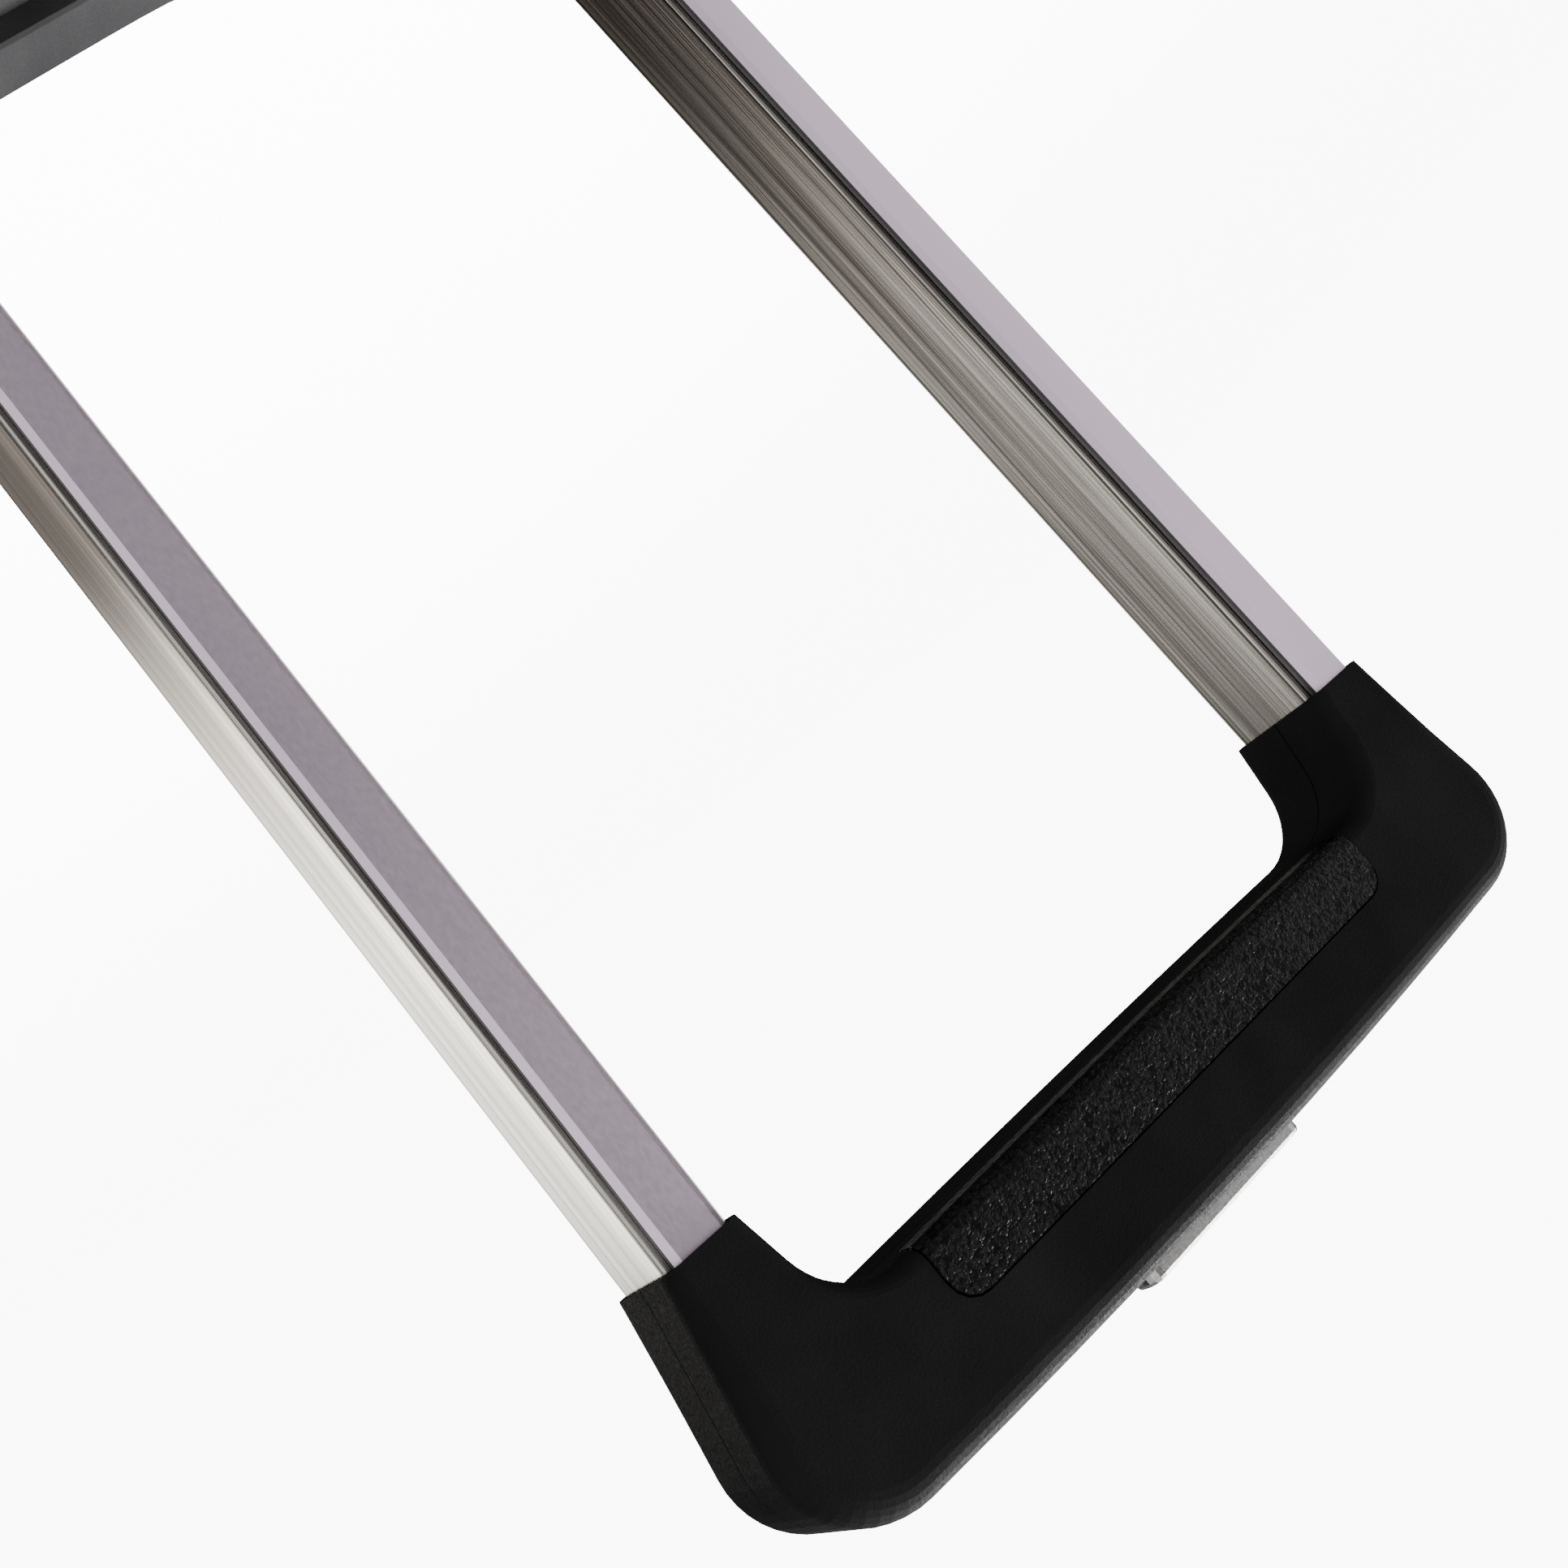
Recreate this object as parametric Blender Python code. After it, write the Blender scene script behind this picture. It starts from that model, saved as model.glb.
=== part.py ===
"""Telescoping pull handle of a rolling case: a moulded U grip on two rails, sliding in two outer tubes.

The model stands upright: +Z runs along the rails towards the grip, +X to the right rail, and the front,
with the anodised rail faces and the textured finger pad, looks along -Y. The origin is the middle of the
bezel's seat, the face that lies on the case. Lengths are in millimetres and become metres in add_object.
The handle is modelled pulled out and latched.
"""

import math

import bmesh
import bpy
from mathutils import Vector

MM = 0.001
GAP = 0.3

# Driving dimensions of the whole handle
RAIL_X = 75.0
LEG_END_Z = 236.0
TRAVEL = 198.0
RAIL_OVERLAP = 70.0

# Rail section: a rectangular tube, a black glide strip on its front and a bevelled face strip on that
TUBE_WIDTH = 11.2
TUBE_FRONT_Y = -8.6
TUBE_BACK_Y = 10.2
TUBE_WALL = 1.2
TUBE_CORNER = 0.5
FACE_WIDTH = 9.0
FACE_FRONT_Y = -11.4
FACE_THICK = 1.0
GLIDE_WIDTH = 8.6
GLIDE_GROOVE = 0.7
RAIL_TOP_Z = LEG_END_Z + 26.6
RAIL_BOTTOM_Z = -RAIL_OVERLAP

# Grip, with heights measured up from the open ends of its legs
GRIP_HEIGHT = 43.9
GRIP_TOP_HALF_WIDTH = 88.7
GRIP_CORNER_RADIUS = 15.0
LEG_HALF_WIDTH = 6.6
BAR_UNDERSIDE = 18.8
INNER_CORNER_X = 64.6
INNER_CORNER_RADIUS = 12.5
CROWN_DROP = 1.7
UNDERSIDE_BULGE = 0.6
CHANNEL_LOW = 26.9
CHANNEL_HIGH = 37.4
CHANNEL_BACK_Y = 9.8

# Rounding of the grip's edges: half depth of the grip, depth of the rounding, its inset on the outer outline
# and on the inner one
GRIP_HALF_DEPTH = 12.2
FRONT_ROUND = (4.6, 4.4, 2.6)
BACK_ROUND = (3.2, 3.0, 2.2)
ROUND_STEPS = 6
ROUND_START = math.radians(12)
ROUND_TURN = math.radians(78)
PARTING = GAP / 2

# Screws
RAIL_SCREW_Z = 13.0
GRIP_SCREW_Z = 23.4
GRIP_SCREW_X = (-56.0, -22.0, 22.0, 56.0)
FOOT_SCREW_X = 40.0
BEZEL_SCREW_X = 95.0
BEZEL_SCREW_Y = (-11.0, 8.0)

# Finger pad on the grip's front lower edge
PAD_HALF_LENGTH = 52.0
PAD_TOP = 29.0
PAD_WRAP = 18.6
PAD_BACK_Y = -6.5
PAD_THICK = 1.2
PAD_END_RADIUS = 4.5

# Push button, its yoke and the rods down the rails
BUTTON_LENGTH = 39.0
BUTTON_FRONT_Y = 2.8
BUTTON_BACK_Y = 9.6
BUTTON_TOP = 48.8
BUTTON_SKIRT = 41.6
YOKE_HALF_LENGTH = 79.0
YOKE_LOW = 31.6
YOKE_HIGH = 36.2
YOKE_FRONT_Y = 4.5
YOKE_BACK_Y = 8.3
ROD_INNER_X = -2.0
ROD_OUTER_X = 1.0
ROD_FRONT_Y = 3.4
ROD_BACK_Y = 6.4
SPRING_X = 40.0
SPRING_Y = 6.4
SPRING_LOW = 20.3

# Latch at the lower end of each rail
LATCH_Z = -82.0
LATCH_HALF_HEIGHT = 3.0
LATCH_RATIO = 0.5
PIN_FRONT_Y = 0.8
PIN_BACK_Y = 8.3
LATCH_TIP_X = 7.8
WEDGE_START_Z = -77.0
ROD_TIP_Z = -81.0
SLIDER_TOP_Z = RAIL_BOTTOM_Z - GAP
SLIDER_BOTTOM_Z = -100.0
SLIDER_WIDTH = 12.6
SLIDER_DEPTH = 23.8

# Outer tubes, foot and bezel
OUTER_WIDTH = 15.6
OUTER_DEPTH = 26.8
OUTER_WALL = 1.2
OUTER_TOP_Z = 5.5
OUTER_BOTTOM_Z = -320.0
FOOT_BOTTOM_Z = -330.0
FOOT_PLATE_TOP_Z = -324.0
FOOT_SOCKET_TOP_Z = -300.0
SOCKET_WIDTH = 20.0
SOCKET_DEPTH = 31.0
COLLAR_TOP_Z = 33.0
FLANGE_HALF_LENGTH = 104.0
FLANGE_FRONT_Y = -19.5
FLANGE_BACK_Y = 16.5
FLANGE_THICK = 5.0
BRIDGE_LOW_Z = 18.0
BRIDGE_SLOPE = 0.205
BRIDGE_SADDLE = 6.0
BRIDGE_END_X = 66.0
BUSH_WIDTH = 14.8
BUSH_DEPTH = 26.0
BUSH_BORE_WIDTH = 12.2
BUSH_BORE_DEPTH = 23.4

SIDES = (("left", -1), ("right", 1))

WIRE_RADIUS = 0.4

# Looks: base colour, metallic, roughness
RAIL_LOOK = ((0.42, 0.40, 0.37), 1.0, 0.32)
FACE_LOOK = ((0.50, 0.43, 0.50), 0.9, 0.38)
BLACK_LOOK = ((0.012, 0.012, 0.013), 0.0, 0.45)
PLASTIC_LOOK = ((0.018, 0.018, 0.019), 0.0, 0.55)
STEEL_LOOK = ((0.36, 0.36, 0.36), 1.0, 0.35)
NYLON_LOOK = ((0.55, 0.54, 0.50), 0.0, 0.5)


# Scene, materials and mesh building


def clear_scene():
    for obj in list(bpy.data.objects):
        bpy.data.objects.remove(obj, do_unlink=True)


def make_material(name, colour, metallic, roughness):
    material = bpy.data.materials.new(name)
    material.use_nodes = True
    shader = material.node_tree.nodes["Principled BSDF"]
    shader.inputs["Base Color"].default_value = (*colour, 1.0)
    shader.inputs["Metallic"].default_value = metallic
    shader.inputs["Roughness"].default_value = roughness
    material.diffuse_color = (*colour, 1.0)
    return material


def add_object(name, bm, look=None, origin=(0.0, 0.0, 0.0)):
    """Turn a bmesh in millimetres into an object in metres whose origin is at the given point."""
    bmesh.ops.recalc_face_normals(bm, faces=bm.faces)
    shift = Vector(origin)
    for vert in bm.verts:
        vert.co = (vert.co - shift) * MM
    mesh = bpy.data.meshes.new(name)
    bm.to_mesh(mesh)
    bm.free()
    obj = bpy.data.objects.new(name, mesh)
    obj.location = shift * MM
    bpy.context.scene.collection.objects.link(obj)
    if look is not None:
        mesh.materials.append(make_material(name + "_look", *look))
        mesh.shade_smooth()
        mesh.set_sharp_from_angle(angle=math.radians(35))
    return obj


def combine(target, tool, operation):
    """Apply an exact Boolean from a helper solid that is itself left out of the model."""
    tool.display_type = "WIRE"
    tool.hide_render = True
    modifier = target.modifiers.new(tool.name, "BOOLEAN")
    modifier.operation = operation
    modifier.solver = "EXACT"
    modifier.object = tool


def cut(target, tool_mesh, name):
    combine(target, add_object(name, tool_mesh), "DIFFERENCE")


def join(target, tool_mesh, name):
    combine(target, add_object(name, tool_mesh), "UNION")


def ring_faces(bm, lower, upper):
    count = len(lower)
    for i in range(count):
        j = (i + 1) % count
        bm.faces.new((lower[i], lower[j], upper[j], upper[i]))


def loft(rings):
    """A closed solid through rings of equally many points, with flat caps at both ends."""
    bm = bmesh.new()
    loops = [[bm.verts.new(point) for point in ring] for ring in rings]
    for lower, upper in zip(loops, loops[1:]):
        ring_faces(bm, lower, upper)
    bm.faces.new(loops[0])
    bm.faces.new(loops[-1])
    return bm


def sleeve(outer_rings, inner_rings):
    """A closed tube wall between outer and inner rings, both listed from bottom to top."""
    bm = bmesh.new()
    outer = [[bm.verts.new(point) for point in ring] for ring in outer_rings]
    inner = [[bm.verts.new(point) for point in ring] for ring in inner_rings]
    for lower, upper in zip(outer, outer[1:]):
        ring_faces(bm, lower, upper)
    for lower, upper in zip(inner, inner[1:]):
        ring_faces(bm, upper, lower)
    ring_faces(bm, inner[0], outer[0])
    ring_faces(bm, outer[-1], inner[-1])
    return bm


def box(low, high):
    (x0, y0, z0), (x1, y1, z1) = low, high
    outline = [(x0, y0), (x1, y0), (x1, y1), (x0, y1)]
    return loft([[(x, y, z) for x, y in outline] for z in (z0, z1)])


def disc(centre, axis, radius, steps):
    """A ring of points around a centre, square to the X, Y or Z axis."""
    ring = []
    for step in range(steps):
        angle = 2 * math.pi * (step + 0.5) / steps
        across = radius * math.cos(angle)
        along = radius * math.sin(angle)
        offset = {"X": (0, across, along), "Y": (across, 0, along), "Z": (across, along, 0)}[axis]
        ring.append(tuple(c + o for c, o in zip(centre, offset)))
    return ring


def turned(axis, profile, centre, steps=16):
    """A round solid on an axis through a centre, from (distance along the axis, radius) pairs."""
    index = "XYZ".index(axis)
    rings = []
    for along, radius in profile:
        place = list(centre)
        place[index] = along
        rings.append(disc(place, axis, radius, steps))
    return loft(rings)


def coil(start, end, radius, wire, turns, axis, steps=10, sides=6):
    """A helical wire whose turns run from start to end along the X or Z axis."""
    start, end = Vector(start), Vector(end)
    along = (end - start).normalized()
    first = Vector((0, 1, 0))
    second = along.cross(first)
    count = turns * steps
    rings = []
    for i in range(count + 1):
        angle = 2 * math.pi * i / steps
        outward = first * math.cos(angle) + second * math.sin(angle)
        centre = start + (end - start) * (wire + (1 - 2 * wire) * i / count) + outward * radius
        ring = []
        for side in range(sides):
            turn = 2 * math.pi * side / sides
            ring.append(centre + (outward * math.cos(turn) + along * math.sin(turn)) * WIRE_RADIUS)
        rings.append(ring)
    return loft(rings)


def rounded_outline(corners, radii, insets=None, splits=None, steps=4):
    """Points of a closed outline, anticlockwise, with its edges moved inward and its corners rounded.

    insets and splits are per edge, edge i running from corner i to the next one. The number of points
    doesn't depend on the insets, so outlines with different insets can be lofted into one another.
    """
    count = len(corners)
    insets = insets or [0.0] * count
    splits = splits or [1] * count
    points = [Vector(c) for c in corners]
    directions = [(points[(i + 1) % count] - points[i]).normalized() for i in range(count)]
    normals = [Vector((-d.y, d.x)) for d in directions]
    moved = []
    for i in range(count):
        before, after = i - 1, i
        base = points[i] + normals[before] * insets[before]
        other = points[i] + normals[after] * insets[after]
        cross = directions[before].cross(directions[after])
        reach = (other - base).cross(directions[after]) / cross
        moved.append(base + directions[before] * reach)
    arcs = []
    for i in range(count):
        turn = directions[i - 1].cross(directions[i])
        if radii[i] == 0:
            arcs.append([moved[i]])
            continue
        inset = min(insets[i - 1], insets[i])
        radius = max(radii[i] - math.copysign(inset, turn), 0.05)
        half = directions[i - 1].angle(directions[i]) / 2
        tangent = radius * math.tan(half)
        start = moved[i] - directions[i - 1] * tangent
        centre = start + normals[i - 1] * math.copysign(radius, turn)
        arc = []
        for step in range(steps + 1):
            angle = math.copysign(2 * half * step / steps, turn)
            spoke = start - centre
            cos, sin = math.cos(angle), math.sin(angle)
            arc.append(centre + Vector((spoke.x * cos - spoke.y * sin, spoke.x * sin + spoke.y * cos)))
        arcs.append(arc)
    outline = []
    for i in range(count):
        outline.extend(arcs[i])
        last, following = arcs[i][-1], arcs[(i + 1) % count][0]
        outline.extend(last.lerp(following, step / splits[i]) for step in range(1, splits[i]))
    return outline


def rectangle(width, depth, radius, centre=(0.0, 0.0), steps=3):
    x, y = width / 2, depth / 2
    corners = [(x, -y), (x, y), (-x, y), (-x, -y)]
    outline = rounded_outline(corners, [radius] * 4, steps=steps)
    return [(p.x + centre[0], p.y + centre[1]) for p in outline]


def at_height(outline, z):
    return [(x, y, z) for x, y in outline]


def block(width, depth, radius, low, high, centre=(0.0, 0.0), steps=3):
    """An upright bar with a rounded rectangular plan."""
    outline = rectangle(width, depth, radius, centre, steps)
    return loft([at_height(outline, low), at_height(outline, high)])


# Rails


def rail_tube(side_name, side):
    x = side * RAIL_X
    depth = TUBE_BACK_Y - TUBE_FRONT_Y
    centre = (x, (TUBE_FRONT_Y + TUBE_BACK_Y) / 2)
    outer = rectangle(TUBE_WIDTH, depth, TUBE_CORNER, centre, 2)
    inner = rectangle(TUBE_WIDTH - 2 * TUBE_WALL, depth - 2 * TUBE_WALL, 0.2, centre, 2)
    ends = (RAIL_BOTTOM_Z, RAIL_TOP_Z)
    wall = sleeve([at_height(outer, z) for z in ends], [at_height(inner, z) for z in ends])
    tube = add_object("rail_tube_" + side_name, wall, RAIL_LOOK)
    bored = ((TUBE_BACK_Y - TUBE_WALL - 0.6, 1.8), (TUBE_BACK_Y + 1.0, 1.8))
    cut(tube, turned("Y", bored, (x, 0, LEG_END_Z + RAIL_SCREW_Z), 12), "rail_screw_hole_" + side_name)


def rail_face(side_name, side):
    """The anodised strip on the rail's front, with a bevelled edge down each side."""
    half = FACE_WIDTH / 2
    flat = half - FACE_THICK
    back = FACE_FRONT_Y + FACE_THICK
    profile = [(flat, FACE_FRONT_Y), (half, back), (-half, back), (-flat, FACE_FRONT_Y)]
    outline = [(side * RAIL_X + x, y) for x, y in profile]
    strip = loft([at_height(outline, z) for z in (RAIL_BOTTOM_Z, RAIL_TOP_Z)])
    add_object("rail_face_" + side_name, strip, FACE_LOOK)


def rail_glide(side_name, side):
    """The black strip between the tube and the face, with a V groove down each side."""
    half = GLIDE_WIDTH / 2
    front = FACE_FRONT_Y + FACE_THICK + GAP
    back = TUBE_FRONT_Y - GAP
    middle = (front + back) / 2
    right = [(half, front), (half, middle - 0.4), (half - GLIDE_GROOVE, middle), (half, middle + 0.4), (half, back)]
    outline = [(side * RAIL_X + x, y) for x, y in right]
    outline += [(side * RAIL_X - x, y) for x, y in reversed(right)]
    strip = loft([at_height(outline, z) for z in (RAIL_BOTTOM_Z, RAIL_TOP_Z)])
    add_object("rail_glide_" + side_name, strip, BLACK_LOOK)


# Grip


def underside_shift(x):
    """How far the grip bar's underside swells down in its middle."""
    return -UNDERSIDE_BULGE * max(0.0, 1 - (x / 60.0) ** 2)


def crowned(x, z):
    """Arch the grip's top slightly and let its underside swell."""
    lifted = z - CROWN_DROP * (x / RAIL_X) ** 2 * (max(z, 0.0) / GRIP_HEIGHT) ** 2
    if z < 30.0 and abs(x) < 60.0:
        lifted += underside_shift(x) * (30.0 - z) / (30.0 - BAR_UNDERSIDE)
    return lifted


def grip_outline(outer_inset, inner_inset):
    leg_out = RAIL_X + LEG_HALF_WIDTH
    leg_in = RAIL_X - LEG_HALF_WIDTH
    corners = [
        (leg_out, 0.0),
        (GRIP_TOP_HALF_WIDTH, GRIP_HEIGHT),
        (-GRIP_TOP_HALF_WIDTH, GRIP_HEIGHT),
        (-leg_out, 0.0),
        (-leg_in, 0.0),
        (-INNER_CORNER_X, BAR_UNDERSIDE),
        (INNER_CORNER_X, BAR_UNDERSIDE),
        (leg_in, 0.0),
    ]
    radii = [0, GRIP_CORNER_RADIUS, GRIP_CORNER_RADIUS, 0, 0, INNER_CORNER_RADIUS, INNER_CORNER_RADIUS, 0]
    insets = [outer_inset] * 3 + [0.0] + [inner_inset] * 3 + [0.0]
    splits = [3, 10, 3, 1, 1, 10, 1, 1]
    return rounded_outline(corners, radii, insets, splits, steps=12)


def grip_ring(y, outer_inset, inner_inset, leg_share, inner_share):
    """One outline of the grip at depth y, whose edge rounding fades towards the leg ends."""
    full = grip_outline(0.0, 0.0)
    inset = grip_outline(outer_inset, inner_inset)
    ring = []
    for whole, moved in zip(full, inset):
        rise = min(max(whole.y / 22.0, 0.0), 1.0)
        least = inner_share if abs(whole.x) < RAIL_X else leg_share
        share = least + (1 - least) * rise * rise * (3 - 2 * rise)
        point = whole.lerp(moved, share)
        ring.append((point.x, y, LEG_END_Z + crowned(point.x, point.y)))
    return ring


def rounded_rings(facing, rounding, leg_share, inner_share):
    """Outlines down one rounded edge of the grip, from its flat face towards the parting."""
    depth, outer, inner = rounding
    rings = []
    for step in range(ROUND_STEPS + 1):
        turn = ROUND_TURN * step / ROUND_STEPS
        y = facing * (GRIP_HALF_DEPTH - depth * (1 - math.cos(turn)))
        left = (1 - math.sin(ROUND_START + turn)) / (1 - math.sin(ROUND_START))
        rings.append(grip_ring(y, outer * left, inner * left, leg_share, inner_share))
    return rings


def leg_pocket(side, low_y, high_y, half_width):
    x = side * RAIL_X
    return box((x - half_width, low_y, LEG_END_Z - 1), (x + half_width, high_y, RAIL_TOP_Z + 0.6))


def grip_front_shell():
    rings = rounded_rings(-1, FRONT_ROUND, 0.45, 0.85)
    rings.append(grip_ring(-PARTING, 0.0, 0.0, 1.0, 1.0))
    shell = add_object("grip_front_shell", loft(rings), PLASTIC_LOOK)
    low, high = LEG_END_Z + 25.5, LEG_END_Z + CHANNEL_HIGH
    cut(shell, box((-62.0, -9.6, low), (62.0, 1.0, high)), "front_pocket")
    for side_name, side in SIDES:
        tube_half = TUBE_WIDTH / 2 + GAP
        cut(shell, leg_pocket(side, TUBE_FRONT_Y - GAP, 1.0, tube_half), "front_tube_pocket_" + side_name)
        face_half = FACE_WIDTH / 2 + GAP
        pocket = leg_pocket(side, FACE_FRONT_Y - GAP, TUBE_FRONT_Y, face_half)
        cut(shell, pocket, "front_face_pocket_" + side_name)
    for number, x in enumerate(GRIP_SCREW_X, 1):
        centre = (x, 0, LEG_END_Z + GRIP_SCREW_Z)
        cut(shell, turned("Y", ((-7.2, 1.6), (1.0, 1.6)), centre, 12), f"front_screw_hole_{number}")
    cut(shell, pad_solid(GAP, 1.5), "pad_recess")


def grip_back_shell():
    rings = [grip_ring(PARTING, 0.0, 0.0, 1.0, 1.0)]
    rings.extend(reversed(rounded_rings(1, BACK_ROUND, 0.3, 0.6)))
    shell = add_object("grip_back_shell", loft(rings), PLASTIC_LOOK)
    low, high = LEG_END_Z + CHANNEL_LOW, LEG_END_Z + CHANNEL_HIGH
    cut(shell, box((-80.0, -1.0, low), (80.0, CHANNEL_BACK_Y, high)), "yoke_channel")
    slot_half = BUTTON_LENGTH / 2 + 0.4
    slot = box((-slot_half, BUTTON_FRONT_Y - 0.4, high - 0.5), (slot_half, BUTTON_BACK_Y + 0.4, LEG_END_Z + 50.0))
    cut(shell, slot, "button_slot")
    for side_name, side in SIDES:
        pocket = leg_pocket(side, -1.0, TUBE_BACK_Y + GAP, TUBE_WIDTH / 2 + GAP)
        cut(shell, pocket, "back_tube_pocket_" + side_name)
        centre = (side * RAIL_X, 0, LEG_END_Z + RAIL_SCREW_Z)
        cut(shell, turned("Y", ((8.0, 1.8), (14.0, 1.8)), centre, 12), "leg_screw_hole_" + side_name)
        well = turned("Z", ((LEG_END_Z + 20.0, 3.4), (low + 1.0, 3.4)), (side * SPRING_X, SPRING_Y, 0), 12)
        cut(shell, well, "spring_well_" + side_name)
    for number, x in enumerate(GRIP_SCREW_X, 1):
        centre = (x, 0, LEG_END_Z + GRIP_SCREW_Z)
        hole = turned("Y", ((-1.0, 1.7), (9.2, 1.7), (9.2, 2.4), (14.0, 2.4)), centre, 12)
        cut(shell, hole, f"back_screw_hole_{number}")


def pad_solid(clearance, proud):
    """The finger pad, or with a clearance the recess that it sits in: an L of rubber round the lower edge.

    Each cross-section is listed as (depth, height above the wrapped edge), with None for the pad's top.
    """
    front = -12.4
    outer = ((front, None), (front, 2.3), (-11.9, 1.2), (-11.0, 0.4), (-9.8, 0.0), (PAD_BACK_Y, -0.1))
    back = front + PAD_THICK
    inner = ((PAD_BACK_Y, 1.1), (-9.6, 1.2), (-10.5, 1.7), (back, 2.8), (back, None))
    half = PAD_HALF_LENGTH + clearance
    turns = [math.radians(22.5 * step) for step in range(5)]
    ends = [(half - PAD_END_RADIUS * (1 - math.cos(a)), PAD_TOP - PAD_END_RADIUS * (1 - math.sin(a))) for a in turns]
    spans = [(half - PAD_END_RADIUS) * step / 5 for step in range(4, 0, -1)]
    stations = ends + [(x, PAD_TOP) for x in spans] + [(0.0, PAD_TOP)]
    stations += [(-x, top) for x, top in reversed(stations[:-1])]
    rings = []
    for x, top in stations:
        low = LEG_END_Z + PAD_WRAP + underside_shift(x)
        high = LEG_END_Z + top + clearance
        ring = []
        for y, rise in outer:
            sunk = proud if rise is not None and rise < 0.7 else 0.0
            ring.append((x, y - proud, high if rise is None else low + rise - sunk))
        ring[-1] = (x, PAD_BACK_Y + clearance, ring[-1][2])
        for y, rise in inner:
            ring.append((x, y + clearance, high if rise is None else low + rise + clearance))
        rings.append(ring)
    return loft(rings)


def grip_pad():
    add_object("grip_pad", pad_solid(0.0, 0.0), ((0.010, 0.010, 0.011), 0.0, 0.42))


def round_screw(name, axis, centre, seat, out, head_radius, head_height, shank_radius, length):
    """A pan-head screw: out is +1 or -1, the way its head faces from its seat."""
    profile = [
        (seat - out * length, shank_radius * 0.7),
        (seat - out * (length - 1.0), shank_radius),
        (seat, shank_radius),
        (seat, head_radius),
        (seat + out * head_height * 0.6, head_radius),
        (seat + out * head_height, head_radius * 0.72),
    ]
    screw = add_object(name, turned(axis, profile, centre, 12), STEEL_LOOK)
    half = head_radius * 0.5
    index = "XYZ".index(axis)
    for number in range(2):
        low, high = [-0.45] * 3, [0.45] * 3
        across = [i for i in range(3) if i != index][number]
        low[across], high[across] = -half, half
        low[index], high[index] = sorted((seat + out * head_height * 0.45, seat + out * (head_height + 1.0)))
        place = [0.0 if i == index else centre[i] for i in range(3)]
        slot = box([a + b for a, b in zip(low, place)], [a + b for a, b in zip(high, place)])
        cut(screw, slot, f"{name}_slot_{number}")


def grip_screws():
    for number, x in enumerate(GRIP_SCREW_X, 1):
        centre = (x, 0, LEG_END_Z + GRIP_SCREW_Z)
        round_screw(f"grip_screw_{number}", "Y", centre, 9.5, 1, 2.0, 1.8, 1.25, 16.0)
    for side_name, side in SIDES:
        centre = (side * RAIL_X, 0, LEG_END_Z + RAIL_SCREW_Z)
        round_screw("rail_screw_" + side_name, "Y", centre, 12.5, 1, 3.0, 1.8, 1.5, 3.9)


# Button mechanism


def button_cap():
    """The pressed metal cap, hollow underneath for the yoke's stem."""
    middle_y = (BUTTON_FRONT_Y + BUTTON_BACK_Y) / 2
    depth = BUTTON_BACK_Y - BUTTON_FRONT_Y
    rings = []
    for z, inset in ((BUTTON_SKIRT, 0.0), (BUTTON_TOP - 0.7, 0.0), (BUTTON_TOP - 0.2, 0.25), (BUTTON_TOP, 0.8)):
        outline = rectangle(BUTTON_LENGTH - 2 * inset, depth - 2 * inset, 2.6 - inset, (0, middle_y), 4)
        rings.append(at_height(outline, LEG_END_Z + z))
    cap = add_object("button_cap", loft(rings), STEEL_LOOK, (0, middle_y, LEG_END_Z + BUTTON_SKIRT))
    low = LEG_END_Z + BUTTON_SKIRT - 1.0
    high = LEG_END_Z + BUTTON_TOP - 1.2
    hollow = box((-17.9, YOKE_FRONT_Y - GAP, low), (17.9, YOKE_BACK_Y + GAP, high))
    cut(cap, hollow, "button_cap_hollow")


def button_yoke():
    """The T that carries the button's push out to the rod in each rail."""
    stem = 17.5
    half_outline = [
        (YOKE_HALF_LENGTH, YOKE_LOW),
        (YOKE_HALF_LENGTH, YOKE_HIGH - 1.5),
        (YOKE_HALF_LENGTH - 4.0, YOKE_HIGH),
        (stem, YOKE_HIGH),
        (stem, BUTTON_TOP - 1.2 - GAP),
    ]
    outline = half_outline + [(-x, z) for x, z in reversed(half_outline)]
    rings = [[(x, y, LEG_END_Z + z) for x, z in outline] for y in (YOKE_FRONT_Y, YOKE_BACK_Y)]
    middle_y = (YOKE_FRONT_Y + YOKE_BACK_Y) / 2
    add_object("button_yoke", loft(rings), NYLON_LOOK, (0, middle_y, LEG_END_Z + YOKE_LOW))


def push_rod(side_name, side):
    """A square steel rod from the yoke to the latch, its lower end ground to a wedge."""
    top = LEG_END_Z + YOKE_LOW - GAP
    tip_x = ROD_INNER_X + LATCH_RATIO * (WEDGE_START_Z - ROD_TIP_Z)
    profile = [(ROD_INNER_X, top), (ROD_INNER_X, WEDGE_START_Z), (tip_x, ROD_TIP_Z), (ROD_OUTER_X, ROD_TIP_Z),
               (ROD_OUTER_X, top)]
    rings = [[(side * (RAIL_X + x), y, z) for x, z in profile] for y in (ROD_FRONT_Y, ROD_BACK_Y)]
    origin = (side * RAIL_X, (ROD_FRONT_Y + ROD_BACK_Y) / 2, top)
    add_object("push_rod_" + side_name, loft(rings), STEEL_LOOK, origin)


def button_spring(side_name, side):
    low = (side * SPRING_X, SPRING_Y, LEG_END_Z + SPRING_LOW)
    high = (side * SPRING_X, SPRING_Y, LEG_END_Z + YOKE_LOW - GAP)
    add_object("button_spring_" + side_name, coil(low, high, 2.3, 0.05, 5, "Z"), STEEL_LOOK)


# Latch


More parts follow.
